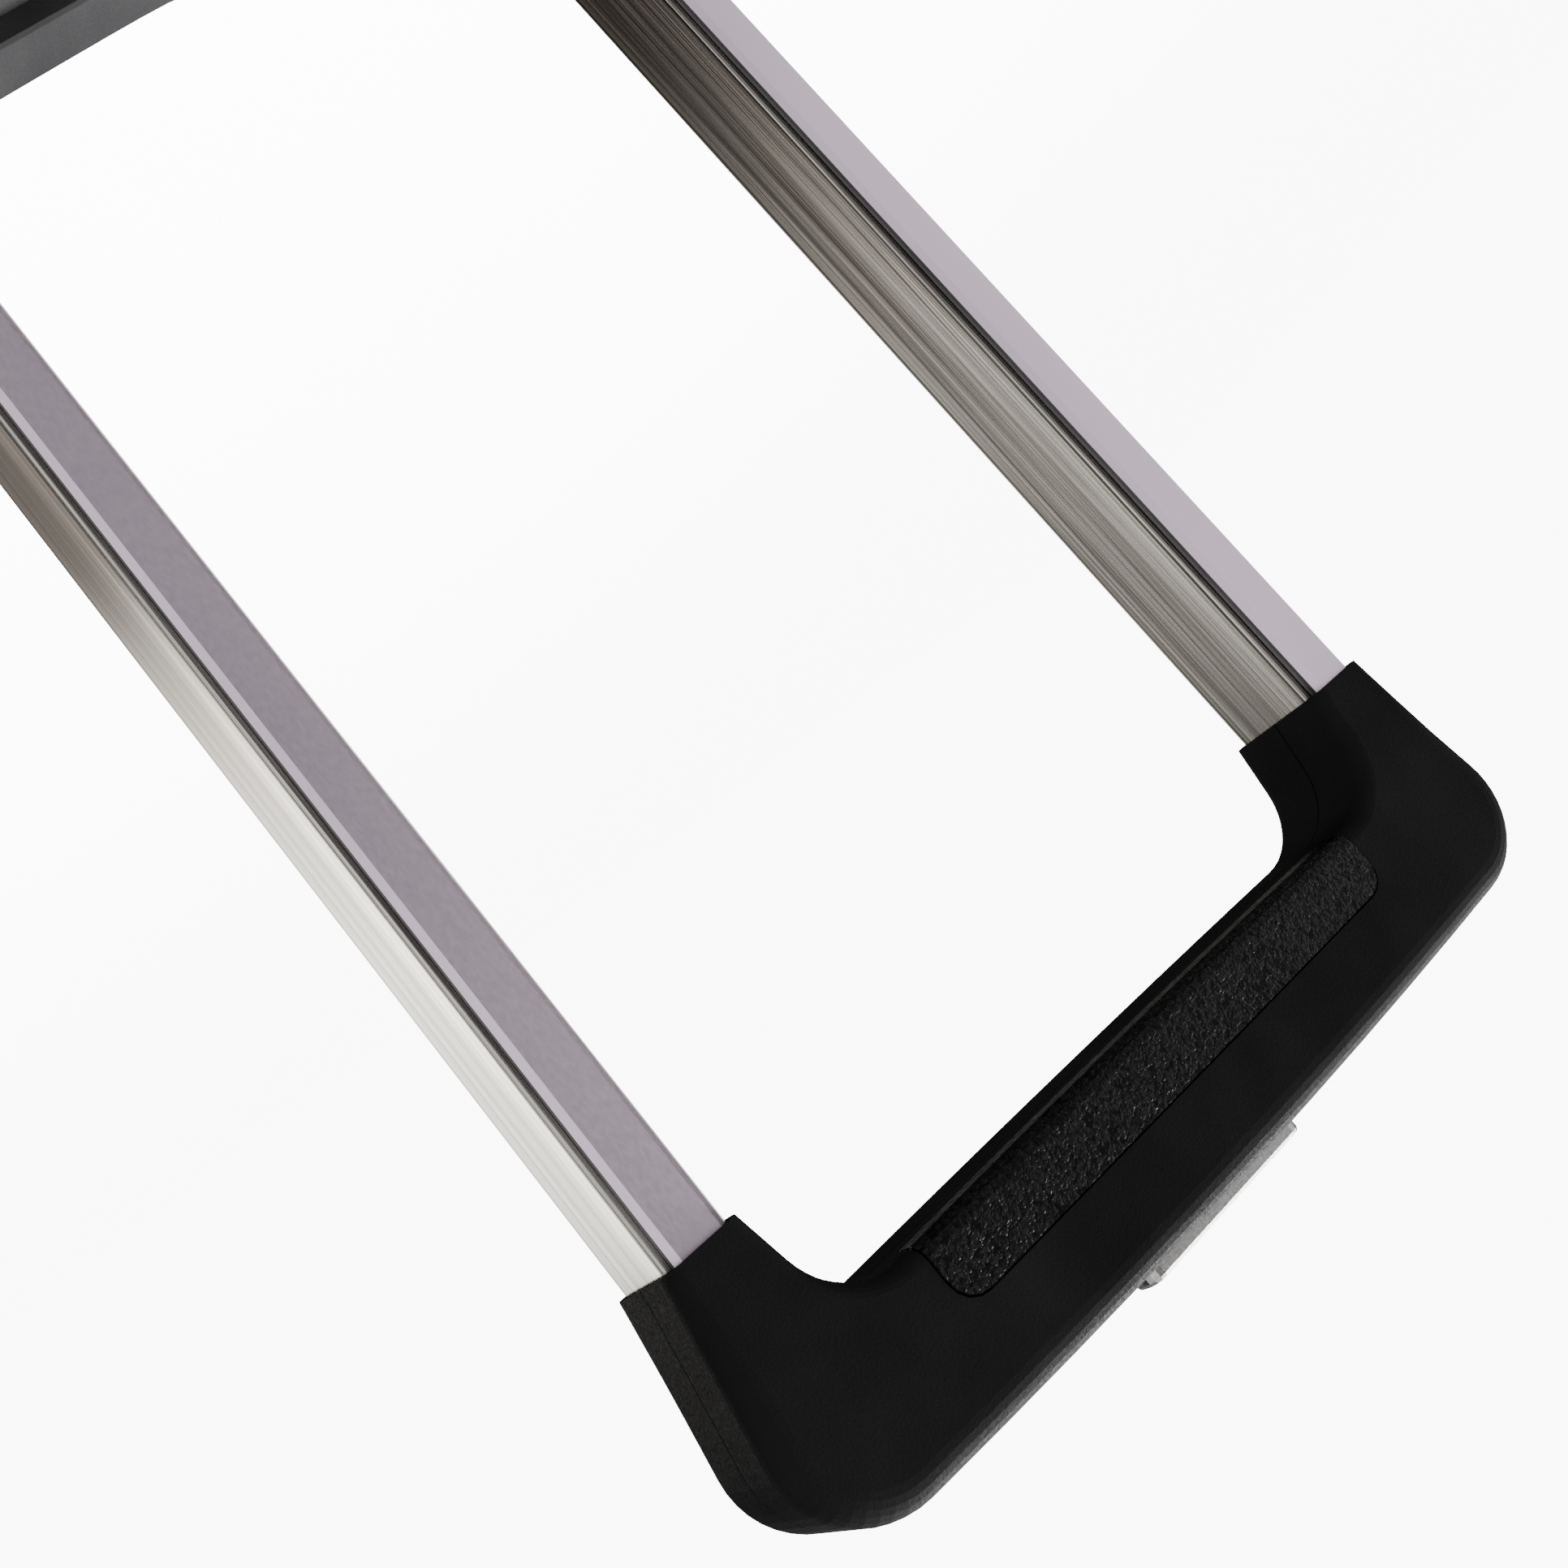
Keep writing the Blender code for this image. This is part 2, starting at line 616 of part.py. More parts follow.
def latch_block(side_name, side):
    """The nylon slider in the rail's lower end, bored for the rod and pocketed for the latch pin."""
    rail = side * RAIL_X
    rail_y = (TUBE_FRONT_Y + TUBE_BACK_Y) / 2
    inner_width = TUBE_WIDTH - 2 * TUBE_WALL - 2 * GAP
    inner_depth = TUBE_BACK_Y - TUBE_FRONT_Y - 2 * TUBE_WALL - 2 * GAP
    slider = rectangle(SLIDER_WIDTH, SLIDER_DEPTH, 1.5, (rail, 0.0), 2)
    stem = rectangle(inner_width, inner_depth, 0.6, (rail, rail_y), 2)
    rings = [
        at_height(slider, SLIDER_BOTTOM_Z),
        at_height(slider, SLIDER_TOP_Z),
        at_height(stem, SLIDER_TOP_Z),
        at_height(stem, RAIL_BOTTOM_Z + 18.0),
    ]
    body = add_object("latch_block_" + side_name, loft(rings), NYLON_LOOK)
    bore_x = sorted((rail + side * (ROD_INNER_X - 0.4), rail + side * (ROD_OUTER_X + 0.4)))
    low = (bore_x[0], ROD_FRONT_Y - 0.4, LATCH_Z - 6.0)
    high = (bore_x[1], ROD_BACK_Y + 0.4, RAIL_BOTTOM_Z + 20.0)
    cut(body, box(low, high), "rod_bore_" + side_name)
    half = LATCH_HALF_HEIGHT + GAP
    pockets = (
        ("bar_pocket_", -6.9, 6.9, PIN_FRONT_Y - 0.4, PIN_BACK_Y + 0.4, half),
        ("arm_pocket_", 0.1, 6.9, -7.4, PIN_FRONT_Y + 0.1, half),
        ("spring_pocket_", -4.5, 0.6, -5.6, -1.4, 2.1),
    )
    for name, x0, x1, y0, y1, tall in pockets:
        x_low, x_high = sorted((rail + side * x0, rail + side * x1))
        pocket = box((x_low, y0, LATCH_Z - tall), (x_high, y1, LATCH_Z + tall))
        cut(body, pocket, name + side_name)


def latch_pin(side_name, side):
    """The sliding latch: a tongue through the outer tube's wall, an arm for its spring and a wedge window."""
    rail = side * RAIL_X
    plan = [
        (-3.9, PIN_FRONT_Y),
        (2.4, PIN_FRONT_Y),
        (2.4, -7.0),
        (5.0, -7.0),
        (5.0, PIN_FRONT_Y),
        (LATCH_TIP_X, PIN_FRONT_Y + 0.8),
        (LATCH_TIP_X, PIN_BACK_Y - 0.8),
        (5.5, PIN_BACK_Y),
        (-3.9, PIN_BACK_Y),
    ]
    top, bottom = LATCH_Z + LATCH_HALF_HEIGHT, LATCH_Z - LATCH_HALF_HEIGHT
    rings = [[(rail + side * x, y, z) for x, y in plan] for z in (bottom, top)]
    pin = add_object("latch_pin_" + side_name, loft(rings), STEEL_LOOK, (rail, (ROD_FRONT_Y + ROD_BACK_Y) / 2, LATCH_Z))
    inner_at_top = ROD_INNER_X + LATCH_RATIO * (WEDGE_START_Z - top) - 0.4
    high, low = top + 1.0, bottom - 1.0
    profile = [
        (inner_at_top - LATCH_RATIO * 1.0, high),
        (inner_at_top + LATCH_RATIO * (top - low), low),
        (3.4, low),
        (3.4, high),
    ]
    cutter = [[(rail + side * x, y, z) for x, z in profile] for y in (ROD_FRONT_Y - 0.3, ROD_BACK_Y + 0.3)]
    cut(pin, loft(cutter), "wedge_window_" + side_name)


def latch_spring(side_name, side):
    inner = (side * (RAIL_X - 4.2), -3.5, LATCH_Z)
    outer = (side * (RAIL_X + 2.1), -3.5, LATCH_Z)
    add_object("latch_spring_" + side_name, coil(inner, outer, 1.4, 0.07, 4, "X"), STEEL_LOOK)


# Case side: outer tubes, foot and bezel


def outer_tube(side_name, side):
    centre = (side * RAIL_X, 0.0)
    outer = rectangle(OUTER_WIDTH, OUTER_DEPTH, 1.8, centre, 2)
    inner = rectangle(OUTER_WIDTH - 2 * OUTER_WALL, OUTER_DEPTH - 2 * OUTER_WALL, 0.9, centre, 2)
    ends = (OUTER_BOTTOM_Z, OUTER_TOP_Z)
    wall = sleeve([at_height(outer, z) for z in ends], [at_height(inner, z) for z in ends])
    tube = add_object("outer_tube_" + side_name, wall, ((0.30, 0.30, 0.30), 1.0, 0.4))
    x_low, x_high = sorted((side * (RAIL_X + 6.2), side * (RAIL_X + 8.8)))
    top = LATCH_Z + LATCH_HALF_HEIGHT + 1.0
    bottom = LATCH_Z - LATCH_HALF_HEIGHT - TRAVEL - 1.0
    cut(tube, box((x_low, PIN_FRONT_Y, bottom), (x_high, PIN_BACK_Y, top)), "latch_slot_" + side_name)


def foot_bumper(side_name, side):
    bumper = block(12.4, 23.6, 2.0, OUTER_BOTTOM_Z, OUTER_BOTTOM_Z + 11.0, (side * RAIL_X, 0.0))
    add_object("foot_bumper_" + side_name, bumper, ((0.02, 0.02, 0.02), 0.0, 0.8))


def foot_bracket():
    bracket = add_object("foot_bracket", block(184.0, 36.0, 6.0, FOOT_BOTTOM_Z, FOOT_PLATE_TOP_Z), PLASTIC_LOOK)
    rib = box((-67.0, -3.0, FOOT_BOTTOM_Z + 2.0), (67.0, 3.0, FOOT_PLATE_TOP_Z + 14.0))
    join(bracket, rib, "foot_rib")
    for side_name, side in SIDES:
        centre = (side * RAIL_X, 0.0)
        socket = block(SOCKET_WIDTH, SOCKET_DEPTH, 3.0, FOOT_BOTTOM_Z + 2.0, FOOT_SOCKET_TOP_Z, centre)
        join(bracket, socket, "foot_socket_" + side_name)
        bore = block(OUTER_WIDTH + 2 * GAP, OUTER_DEPTH + 2 * GAP, 2.0, OUTER_BOTTOM_Z - GAP,
                     FOOT_SOCKET_TOP_Z + 1.0, centre)
        cut(bracket, bore, "foot_bore_" + side_name)
        hole = turned("Z", ((FOOT_BOTTOM_Z - 1, 2.2), (FOOT_PLATE_TOP_Z + 1, 2.2)), (side * FOOT_SCREW_X, 10.0, 0))
        cut(bracket, hole, "foot_screw_hole_" + side_name)
        centre = (side * FOOT_SCREW_X, 10.0, 0)
        round_screw("foot_screw_" + side_name, "Z", centre, FOOT_PLATE_TOP_Z + GAP, 1, 4.0, 2.4, 1.8, 5.8)


def bridge_top(x):
    """Height of the bridge's back top edge: it dips from each collar to a finger scoop in the middle."""
    return BRIDGE_LOW_Z + BRIDGE_SLOPE * (math.hypot(x, BRIDGE_SADDLE) - BRIDGE_SADDLE)


def bridge_section(x):
    """The bridge's Y-Z section: a narrow crest at the back and a rounded shelf in front of it."""
    top = bridge_top(x)
    return [
        (x, FLANGE_BACK_Y, 1.0),
        (x, FLANGE_BACK_Y, 3.6),
        (x, FLANGE_BACK_Y - 1.4, FLANGE_THICK),
        (x, 6.4, FLANGE_THICK),
        (x, 5.6, 8.0),
        (x, 5.3, top - 0.7),
        (x, 4.7, top),
        (x, -4.3, top - 1.2),
        (x, -4.9, top - 1.8),
        (x, -5.1, top - 6.0),
        (x, -11.5, top - 6.9),
        (x, -15.0, top - 8.2),
        (x, -17.4, top - 10.4),
        (x, -18.6, max(top - 13.2, FLANGE_THICK)),
        (x, FLANGE_FRONT_Y + 0.4, 4.4),
        (x, FLANGE_FRONT_Y, 3.6),
        (x, FLANGE_FRONT_Y, 1.0),
    ]


def bezel_housing():
    middle_y = (FLANGE_FRONT_Y + FLANGE_BACK_Y) / 2
    depth = FLANGE_BACK_Y - FLANGE_FRONT_Y
    rings = []
    for z, inset in ((0.0, 0.0), (FLANGE_THICK - 1.4, 0.0), (FLANGE_THICK - 0.4, 0.5), (FLANGE_THICK, 1.6)):
        outline = rectangle(2 * (FLANGE_HALF_LENGTH - inset), depth - 2 * inset, 9.0 - inset, (0, middle_y), 5)
        rings.append(at_height(outline, z))
    housing = add_object("bezel_housing", loft(rings), PLASTIC_LOOK)
    stations = [-BRIDGE_END_X + 6.0 * step for step in range(23)]
    join(housing, loft([bridge_section(x) for x in stations]), "bezel_bridge")
    for side_name, side in SIDES:
        centre = (side * RAIL_X, 0.0)
        rings = []
        for z, inset in ((1.0, 0.0), (COLLAR_TOP_Z - 1.2, 0.0), (COLLAR_TOP_Z - 0.3, 0.3), (COLLAR_TOP_Z, 1.0)):
            outline = rectangle(SOCKET_WIDTH - 2 * inset, SOCKET_DEPTH - 2 * inset, 4.0 - inset, centre, 4)
            rings.append(at_height(outline, z))
        join(housing, loft(rings), "bezel_collar_" + side_name)
        wing = [(84.0, 1.0), (84.0, 15.0), (86.5, 11.0), (90.0, 7.6), (96.0, 5.6), (101.0, 4.6), (101.0, 1.0)]
        rings = [[(side * x, y, z) for x, z in wing] for y in (-4.5, 4.5)]
        join(housing, loft(rings), "bezel_wing_" + side_name)
    for side_name, side in SIDES:
        centre = (side * RAIL_X, 0.0)
        seat = block(OUTER_WIDTH + 2 * GAP, OUTER_DEPTH + 2 * GAP, 2.0, -1.0, OUTER_TOP_Z + GAP, centre)
        cut(housing, seat, "outer_tube_seat_" + side_name)
        bore = block(BUSH_WIDTH + 2 * GAP, BUSH_DEPTH + 2 * GAP, 2.0, 1.0, COLLAR_TOP_Z + 1.0, centre)
        cut(housing, bore, "bush_bore_" + side_name)
        for number, y in enumerate(BEZEL_SCREW_Y, 1):
            centre = (side * BEZEL_SCREW_X, y, 0.0)
            hole = turned("Z", ((-1.0, 2.2), (3.0, 2.2), (3.0, 4.4), (7.0, 4.4)), centre)
            cut(housing, hole, f"bezel_screw_hole_{side_name}_{number}")
            name = f"bezel_screw_{side_name}_{number}"
            round_screw(name, "Z", centre, 3.0 + GAP, 1, 4.0, 2.4, 1.8, 13.0)


def guide_bush(side_name, side):
    """The low-friction sleeve that each rail slides in, with a lip on top of the collar."""
    centre = (side * RAIL_X, 0.0)
    body = rectangle(BUSH_WIDTH, BUSH_DEPTH, 1.7, centre)
    lip = rectangle(BUSH_WIDTH + 2.8, BUSH_DEPTH + 2.8, 3.0, centre)
    bore = rectangle(BUSH_BORE_WIDTH, BUSH_BORE_DEPTH, 0.6, centre)
    seat = COLLAR_TOP_Z + GAP
    outer = [at_height(body, OUTER_TOP_Z + 2 * GAP), at_height(body, seat), at_height(lip, seat),
             at_height(lip, seat + 1.2)]
    inner = [at_height(bore, z) for z in (OUTER_TOP_Z + 2 * GAP, seat + 1.2)]
    add_object("guide_bush_" + side_name, sleeve(outer, inner), ((0.03, 0.03, 0.032), 0.0, 0.35))


def build():
    clear_scene()
    bezel_housing()
    foot_bracket()
    grip_front_shell()
    grip_back_shell()
    grip_pad()
    grip_screws()
    button_cap()
    button_yoke()
    pieces = (rail_tube, rail_face, rail_glide, push_rod, button_spring, latch_block, latch_pin, latch_spring,
              outer_tube, foot_bumper, guide_bush)
    for side_name, side in SIDES:
        for piece in pieces:
            piece(side_name, side)


build()
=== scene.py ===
import bpy
from mathutils import Matrix, Vector


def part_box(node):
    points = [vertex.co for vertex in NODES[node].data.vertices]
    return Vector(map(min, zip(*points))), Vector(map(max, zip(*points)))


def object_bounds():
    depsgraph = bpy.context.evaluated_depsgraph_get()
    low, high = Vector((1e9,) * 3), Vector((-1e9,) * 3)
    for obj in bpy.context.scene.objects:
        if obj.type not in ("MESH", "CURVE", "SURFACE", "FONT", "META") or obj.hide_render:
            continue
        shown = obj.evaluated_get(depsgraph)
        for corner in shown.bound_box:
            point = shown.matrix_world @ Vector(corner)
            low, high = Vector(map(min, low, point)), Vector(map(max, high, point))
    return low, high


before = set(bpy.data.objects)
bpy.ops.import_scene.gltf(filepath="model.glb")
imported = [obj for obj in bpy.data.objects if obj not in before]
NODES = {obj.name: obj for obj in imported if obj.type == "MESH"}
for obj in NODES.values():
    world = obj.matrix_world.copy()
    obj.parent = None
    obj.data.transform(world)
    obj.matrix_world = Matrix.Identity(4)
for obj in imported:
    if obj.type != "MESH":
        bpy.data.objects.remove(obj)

CAD_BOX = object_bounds()


def grey(level):
    return (level, level, level)


# Grain sizes, as how many noise cells fit in a metre along X, Y and Z
ALONG_RAIL = (420.0, 420.0, 1.6)
ACROSS_RAIL = (3600.0, 3600.0, 12.0)
ACROSS_BUTTON = (1400.0, 300.0, 1400.0)
BUTTON_GRIT = (3800.0, 3800.0, 3800.0)
STEEL_CLOUDS = (300.0, 300.0, 300.0)
STEEL_GRIT = (2500.0, 2500.0, 2500.0)
ANODISED_CLOUDS = (30.0, 30.0, 9.0)
ANODISED_GRIT = (2600.0, 2600.0, 900.0)
PLASTIC_CLOUDS = (38.0, 38.0, 38.0)
PEBBLES = (1050.0, 1050.0, 1250.0)
PEBBLE_GLOSS = (500.0, 500.0, 500.0)

# Pad: how far its pebbles are pushed out of line, how soft their borders are, how high they stand in metres,
# and how much they shine
PEBBLE_WARP = 2.4
PEBBLE_SOFTNESS = 0.35
PEBBLE_HEIGHT = 0.0004
PEBBLE_SHEEN = 0.045
# Pad colour: painted light and shade, lighter on the pebble tops and darker in the creases between them
PEBBLE_CREASE_SHADE = (0.002, 0.002, 0.002)
PEBBLE_TOP_LIGHT = (0.008, 0.008, 0.0085)

# Painted reflections: grey levels that darken the rail's metal colour in light and dark lines across the side
# of a rail, from its front edge to its back edge
RAIL_REFLECTION_BANDS = ((0.02, 1.0), (0.035, 0.15), (0.05, 0.2), (0.065, 1.0), (0.30, 0.9), (0.40, 0.6), (0.74, 0.55),
              (0.775, 0.28), (0.80, 0.6), (0.93, 0.5), (0.945, 0.15), (0.965, 0.15), (0.975, 1.0))

# Brightness behind the object by height, and by side behind and in front of it
BACK_LEVELS = ((0.20, (0.35, 0.30, 0.27)), (0.30, (0.60, 0.53, 0.48)), (0.36, (5.5, 5.2, 4.8)),
               (0.42, (8.0, 7.8, 7.3)), (0.525, (6.0, 5.8, 5.5)), (0.55, (0.5, 0.5, 0.5)),
               (0.60, (0.3, 0.3, 0.3)), (0.9, (0.8, 0.8, 0.8)))
BACK_SIDES = ((0.30, grey(0.03)), (0.42, grey(0.03)), (0.52, grey(0.6)), (0.62, grey(1.0)), (0.70, grey(0.7)),
              (0.79, grey(0.085)), (0.95, grey(0.05)))
FRONT_SIDES = ((0.12, grey(2.2)), (0.22, grey(1.1)), (0.34, grey(0.38)), (0.6, grey(0.32)), (0.74, grey(0.8)),
               (0.84, grey(1.6)), (0.95, grey(2.4)))

# How sharply the front turns into the back, and the strength of what reflections, shading and the camera see
FRONT_TO_BACK = 4.0
STUDIO_STRENGTH = 1.0
SOFT_STRENGTH = 1.1
WHITE_STRENGTH = 10.0

FLOOR_HALF = 4.0
FLOOR_DROP = 0.0005
FLOOR_GLOW = 9.0

# Soft lights: name, place, target, width and height, watts
LIGHTS = (("key", (0.5, -0.9, 1.1), (0.0, 0.0, 0.2), (0.9, 0.9), 14.0),
          ("rim", (-0.45, 0.15, 1.15), (0.0, 0.0, 0.25), (0.8, 0.5), 120.0))

# Camera: place in metres, lens and sensor in millimetres, shift in frame widths
CAMERA_PLACE = (0.15559, -0.2349, 0.22072)
CAMERA_FORWARD = (-0.49325, 0.85355, -0.16778)
CAMERA_DOWN = (0.49034, 0.43213, 0.75685)
CAMERA_LENS = 40.994
CAMERA_SENSOR = 36.0
CAMERA_SHIFT = (0.0647, -0.0497)
CAMERA_NEAR = 0.01


# Node helpers


def new_material(name):
    material = bpy.data.materials.new(name)
    material.use_nodes = True
    return material, material.node_tree, material.node_tree.nodes["Principled BSDF"]


def add(tree, kind, **settings):
    node = tree.nodes.new(kind)
    for key, value in settings.items():
        setattr(node, key, value)
    return node


def position(tree, scale):
    """Object position, stretched differently along X, Y and Z."""
    coords = add(tree, "ShaderNodeTexCoord")
    mapping = add(tree, "ShaderNodeMapping")
    mapping.inputs["Scale"].default_value = scale
    tree.links.new(coords.outputs["Object"], mapping.inputs["Vector"])
    return mapping.outputs["Vector"]


def noise(tree, scale, detail=3.0, rough=0.5):
    texture = add(tree, "ShaderNodeTexNoise")
    texture.inputs["Scale"].default_value = 1.0
    texture.inputs["Detail"].default_value = detail
    texture.inputs["Roughness"].default_value = rough
    tree.links.new(position(tree, scale), texture.inputs["Vector"])
    return texture.outputs["Fac"]


def ramp(tree, value, stops):
    node = add(tree, "ShaderNodeValToRGB")
    elements = node.color_ramp.elements
    while len(elements) < len(stops):
        elements.new(0.5)
    for element, (place, colour) in zip(elements, stops):
        element.position = place
        element.color = (*colour, 1.0)
    tree.links.new(value, node.inputs["Fac"])
    return node.outputs["Color"]


def bump(tree, shader, height, strength, distance):
    node = add(tree, "ShaderNodeBump")
    node.inputs["Strength"].default_value = strength
    node.inputs["Distance"].default_value = distance
    tree.links.new(height, node.inputs["Height"])
    tree.links.new(node.outputs["Normal"], shader.inputs["Normal"])


def blend_values(tree, kind, first, second, factor):
    node = add(tree, "ShaderNodeMix", data_type="RGBA", blend_type=kind)
    node.inputs["Factor"].default_value = factor
    tree.links.new(first, node.inputs["A"])
    tree.links.new(second, node.inputs["B"])
    return node.outputs["Result"]


# Materials


def moulded_plastic(name, dark, light, rough_low, rough_high, grain=3200.0, depth=0.00006, sheen=0.3,
                    index=1.5):
    """Plastic with the fine sparkle of an eroded mould."""
    material, tree, shader = new_material(name)
    fine = noise(tree, (grain, grain, grain), detail=2.0, rough=0.6)
    broad = noise(tree, PLASTIC_CLOUDS)
    tree.links.new(ramp(tree, broad, ((0.35, dark), (0.7, light))), shader.inputs["Base Color"])
    gloss = ramp(tree, fine, ((0.3, grey(rough_low)), (0.7, grey(rough_high))))
    tree.links.new(gloss, shader.inputs["Roughness"])
    bump(tree, shader, fine, strength=0.5, distance=depth)
    shader.inputs["Specular IOR Level"].default_value = sheen
    shader.inputs["IOR"].default_value = index
    return material


def grained_rubber(name):
    """Leather grain: small raised pebbles with creases between them."""
    material, tree, shader = new_material(name)
    coords = position(tree, PEBBLES)
    spread = add(tree, "ShaderNodeTexNoise")
    spread.inputs["Scale"].default_value = 1.0
    tree.links.new(coords, spread.inputs["Vector"])
    push = add(tree, "ShaderNodeVectorMath", operation="SCALE")
    push.inputs["Scale"].default_value = PEBBLE_WARP
    tree.links.new(spread.outputs["Color"], push.inputs["Vector"])
    pushed = add(tree, "ShaderNodeVectorMath", operation="ADD")
    tree.links.new(coords, pushed.inputs[0])
    tree.links.new(push.outputs["Vector"], pushed.inputs[1])
    cells = add(tree, "ShaderNodeTexVoronoi", feature="SMOOTH_F1")
    cells.inputs["Scale"].default_value = 1.0
    cells.inputs["Smoothness"].default_value = PEBBLE_SOFTNESS
    tree.links.new(pushed.outputs["Vector"], cells.inputs["Vector"])
    centre = cells.outputs["Distance"]
    # Painted shade: the colour runs from lighter at each pebble's centre to darker in the creases between
    # pebbles
    tree.links.new(ramp(tree, centre, ((0.2, PEBBLE_TOP_LIGHT), (0.8, PEBBLE_CREASE_SHADE))), shader.inputs["Base Color"])
    gloss = ramp(tree, noise(tree, PEBBLE_GLOSS, detail=2.0), ((0.3, grey(0.20)), (0.7, grey(0.34))))
    tree.links.new(gloss, shader.inputs["Roughness"])
    shader.inputs["Specular IOR Level"].default_value = PEBBLE_SHEEN
    pebbles = ramp(tree, centre, ((0.12, grey(1.0)), (0.75, grey(0.0))))
    bump(tree, shader, pebbles, strength=0.5, distance=PEBBLE_HEIGHT)
    return material


def brushed_metal(name, dark, light, rough, along, across, depth=0.00001, streak=0.6, anisotropy=0.5):
    """Bare metal brushed along one axis: long streaks of colour, gloss and height."""
    material, tree, shader = new_material(name)
    shader.inputs["Metallic"].default_value = 1.0
    shader.inputs["Anisotropic"].default_value = anisotropy
    broad = noise(tree, along, detail=3.0, rough=0.6)
    fine = noise(tree, across, detail=4.0, rough=0.7)
    both = blend_values(tree, "MIX", broad, fine, streak)
    tree.links.new(ramp(tree, both, ((0.40, dark), (0.60, light))), shader.inputs["Base Color"])
    gloss = ramp(tree, fine, ((0.3, grey(rough - 0.07)), (0.7, grey(rough + 0.09))))
    tree.links.new(gloss, shader.inputs["Roughness"])
    bump(tree, shader, fine, strength=0.25, distance=depth)
    return material


def with_painted_reflections(material, front, back, stops):
    """Paint reflections into a rail's metal colour: darker and lighter bands that run its whole length,
    placed from its front to its back edge.
    """
    tree = material.node_tree
    base_colour = tree.nodes["Principled BSDF"].inputs["Base Color"]
    colour = base_colour.links[0].from_socket
    coords = add(tree, "ShaderNodeTexCoord")
    split = add(tree, "ShaderNodeSeparateXYZ")
    tree.links.new(coords.outputs["Object"], split.inputs["Vector"])
    across = add(tree, "ShaderNodeMapRange")
    across.inputs["From Min"].default_value = front
    across.inputs["From Max"].default_value = back
    tree.links.new(split.outputs["Y"], across.inputs["Value"])
    reflection_bands = ramp(tree, across.outputs["Result"], tuple((place, grey(level)) for place, level in stops))
    tree.links.new(blend_values(tree, "MULTIPLY", colour, reflection_bands, 1.0), base_colour)
    return material


def anodised(name, dark, light, rough):
    """Tinted, matt anodised aluminium."""
    material, tree, shader = new_material(name)
    shader.inputs["Metallic"].default_value = 0.85
    broad = noise(tree, ANODISED_CLOUDS, detail=2.0)
    fine = noise(tree, ANODISED_GRIT, detail=2.0, rough=0.6)
    both = blend_values(tree, "MIX", broad, fine, 0.25)
    tree.links.new(ramp(tree, both, ((0.3, dark), (0.7, light))), shader.inputs["Base Color"])
    gloss = ramp(tree, fine, ((0.3, grey(rough - 0.04)), (0.7, grey(rough + 0.06))))
    tree.links.new(gloss, shader.inputs["Roughness"])
    bump(tree, shader, fine, strength=0.15, distance=0.000008)
    return material


def paint(material, *names):
    """Give CAD nodes a material. A name ending in * stands for every node that starts with it."""
    for name in names:
        found = [n for n in NODES if n == name or (name.endswith("*") and n.startswith(name[:-1]))]
        for node_name in found:
            mesh = NODES[node_name].data
            mesh.materials.clear()
            mesh.materials.append(material)


def paint_plastics():
    grip = moulded_plastic("grip_plastic", (0.0050, 0.0050, 0.0051), (0.0085, 0.0085, 0.0087), 0.52, 0.80,
                           grain=2600.0, depth=0.00012, sheen=0.5, index=1.06)
    paint(grip, "grip_front_shell", "grip_back_shell")
    paint(grained_rubber("pad_rubber"), "grip_pad")
    glide = moulded_plastic("glide_plastic", (0.060, 0.058, 0.059), (0.090, 0.086, 0.088), 0.30, 0.45,
                            grain=1500.0, depth=0.00001)
    paint(glide, "rail_glide_*")
    bezel = moulded_plastic("bezel_plastic", (0.010, 0.010, 0.0105), (0.017, 0.017, 0.0175), 0.45, 0.75,
                            grain=2600.0, depth=0.00012, sheen=0.5, index=1.14)
    paint(bezel, "bezel_housing")
    foot = moulded_plastic("foot_plastic", (0.016, 0.016, 0.017), (0.026, 0.026, 0.027), 0.4, 0.6)
    paint(foot, "foot_bracket")
    bush = moulded_plastic("bush_plastic", (0.022, 0.022, 0.023), (0.034, 0.034, 0.035), 0.25, 0.4,
                           grain=1200.0, depth=0.00001)
    paint(bush, "guide_bush_*")
    bumper = moulded_plastic("bumper_rubber", (0.014, 0.014, 0.014), (0.024, 0.024, 0.023), 0.7, 0.9,
                             grain=900.0, depth=0.00005)
    paint(bumper, "foot_bumper_*")
    nylon = moulded_plastic("nylon", (0.55, 0.54, 0.49), (0.66, 0.65, 0.60), 0.4, 0.55,
                            grain=900.0, depth=0.00002)
    paint(nylon, "button_yoke", "latch_block_*")


def paint_metals():
    low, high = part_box("rail_tube_left")
    rail = brushed_metal("rail_metal", (0.22, 0.20, 0.175), (0.92, 0.89, 0.84), 0.25, ALONG_RAIL, ACROSS_RAIL)
    # Painted reflections: the rail's colour carries lines of reflected light and shade along its side
    paint(with_painted_reflections(rail, low.y, high.y, RAIL_REFLECTION_BANDS), "rail_tube_*")
    paint(anodised("face_metal", (0.40, 0.335, 0.40), (0.50, 0.42, 0.49), 0.34), "rail_face_*")
    button = brushed_metal("button_metal", (0.20, 0.195, 0.19), (0.34, 0.335, 0.33), 0.34, ACROSS_BUTTON,
                           BUTTON_GRIT, depth=0.00002, streak=0.8, anisotropy=0.0)
    paint(button, "button_cap")
    outer = brushed_metal("outer_tube_metal", (0.40, 0.40, 0.40), (0.58, 0.58, 0.58), 0.38, ALONG_RAIL,
                          ACROSS_RAIL)
    paint(outer, "outer_tube_*")
    steel = brushed_metal("zinc_steel", (0.42, 0.42, 0.43), (0.62, 0.62, 0.63), 0.30, STEEL_CLOUDS,
                          STEEL_GRIT, depth=0.00001, streak=0.5, anisotropy=0.0)
    paint(steel, "grip_screw_*", "rail_screw_*", "bezel_screw_*", "foot_screw_*", "push_rod_*",
          "button_spring_*", "latch_pin_*", "latch_spring_*")


# Stage, light and camera


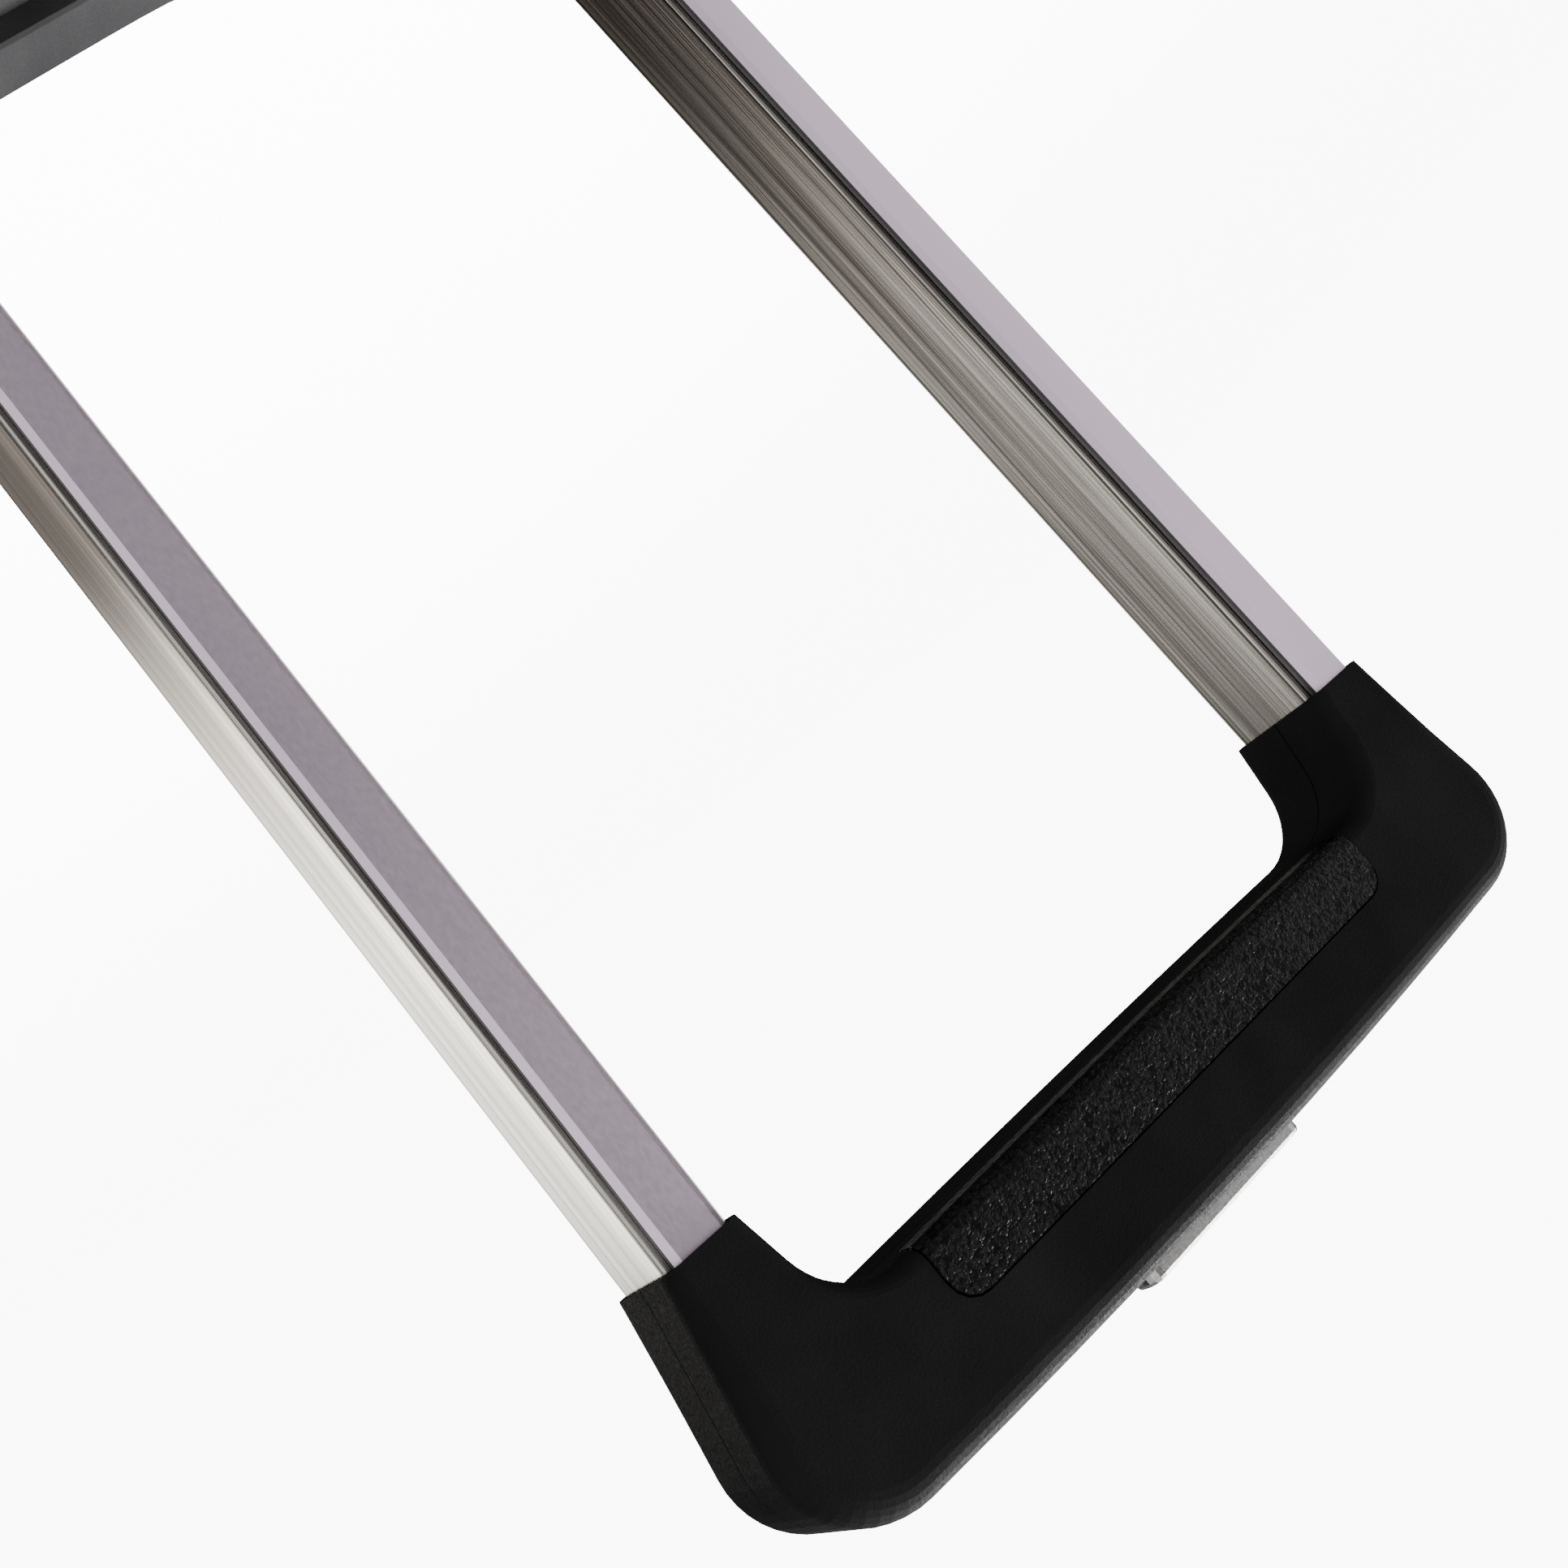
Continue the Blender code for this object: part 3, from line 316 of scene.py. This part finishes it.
def make_floor():
    z = CAD_BOX[0][2] - FLOOR_DROP
    corners = [(x * FLOOR_HALF, y * FLOOR_HALF, z) for x, y in ((-1, -1), (1, -1), (1, 1), (-1, 1))]
    mesh = bpy.data.meshes.new("floor")
    mesh.from_pydata(corners, [], [(0, 1, 2, 3)])
    floor = bpy.data.objects.new("floor", mesh)
    bpy.context.scene.collection.objects.link(floor)
    material, tree, shader = new_material("floor_paper")
    shader.inputs["Base Color"].default_value = (0.9, 0.9, 0.9, 1.0)
    shader.inputs["Roughness"].default_value = 0.95
    shader.inputs["Emission Color"].default_value = (1.0, 1.0, 1.0, 1.0)
    shader.inputs["Emission Strength"].default_value = FLOOR_GLOW
    mesh.materials.append(material)
    floor.visible_glossy = False
    floor.visible_diffuse = False


def scaled(tree, value, factor):
    """A value times a factor plus a half, which puts the zero of a direction in the middle of a ramp."""
    node = add(tree, "ShaderNodeMath", operation="MULTIPLY_ADD")
    tree.links.new(value, node.inputs[0])
    node.inputs[1].default_value = factor
    node.inputs[2].default_value = 0.5
    return node


def background(tree, strength):
    node = add(tree, "ShaderNodeBackground")
    node.inputs["Strength"].default_value = strength
    return node


def mix_shaders(tree, choice, first, second):
    node = add(tree, "ShaderNodeMixShader")
    for socket, source in zip(node.inputs, (choice, first, second)):
        tree.links.new(source, socket)
    return node.outputs[0]


def make_world():
    """A white studio: soft white all round, with darker and brighter zones that only reflections show."""
    world = bpy.data.worlds.new("studio")
    bpy.context.scene.world = world
    world.use_nodes = True
    tree = world.node_tree
    tree.nodes.clear()
    coords = add(tree, "ShaderNodeTexCoord")
    split = add(tree, "ShaderNodeSeparateXYZ")
    tree.links.new(coords.outputs["Generated"], split.inputs["Vector"])
    side = scaled(tree, split.outputs["X"], 0.5).outputs["Value"]
    height = scaled(tree, split.outputs["Z"], 0.5).outputs["Value"]
    behind = scaled(tree, split.outputs["Y"], FRONT_TO_BACK)
    behind.use_clamp = True
    back = blend_values(tree, "MULTIPLY", ramp(tree, height, BACK_LEVELS), ramp(tree, side, BACK_SIDES), 1.0)
    room = add(tree, "ShaderNodeMix", data_type="RGBA")
    tree.links.new(behind.outputs["Value"], room.inputs["Factor"])
    tree.links.new(ramp(tree, side, FRONT_SIDES), room.inputs["A"])
    tree.links.new(back, room.inputs["B"])
    studio = background(tree, STUDIO_STRENGTH)
    tree.links.new(room.outputs["Result"], studio.inputs["Color"])
    soft = background(tree, SOFT_STRENGTH)
    white = background(tree, WHITE_STRENGTH)
    white.inputs["Color"].default_value = (1.0, 1.0, 1.0, 1.0)
    path = add(tree, "ShaderNodeLightPath")
    around = mix_shaders(tree, path.outputs["Is Diffuse Ray"], studio.outputs[0], soft.outputs[0])
    seen = mix_shaders(tree, path.outputs["Is Camera Ray"], around, white.outputs[0])
    output = add(tree, "ShaderNodeOutputWorld")
    tree.links.new(seen, output.inputs["Surface"])


def make_light(name, place, target, size, power):
    light = bpy.data.lights.new(name, "AREA")
    light.shape = "RECTANGLE"
    light.size, light.size_y = size
    light.energy = power
    lamp = bpy.data.objects.new(name, light)
    lamp.location = place
    lamp.rotation_euler = (Vector(target) - Vector(place)).to_track_quat("-Z", "Y").to_euler()
    bpy.context.scene.collection.objects.link(lamp)


def make_camera():
    camera = bpy.data.cameras.new("camera")
    camera.sensor_width = CAMERA_SENSOR
    camera.lens = CAMERA_LENS
    camera.shift_x, camera.shift_y = CAMERA_SHIFT
    camera.clip_start = CAMERA_NEAR
    holder = bpy.data.objects.new("camera", camera)
    forward = Vector(CAMERA_FORWARD).normalized()
    down = Vector(CAMERA_DOWN)
    up = (-down + forward * down.dot(forward)).normalized()
    right = forward.cross(up)
    matrix = Matrix((right, up, -forward)).transposed().to_4x4()
    matrix.translation = Vector(CAMERA_PLACE)
    holder.matrix_world = matrix
    bpy.context.scene.collection.objects.link(holder)
    bpy.context.scene.camera = holder


paint_plastics()
paint_metals()
make_floor()
make_world()
for light_row in LIGHTS:
    make_light(*light_row)
make_camera()
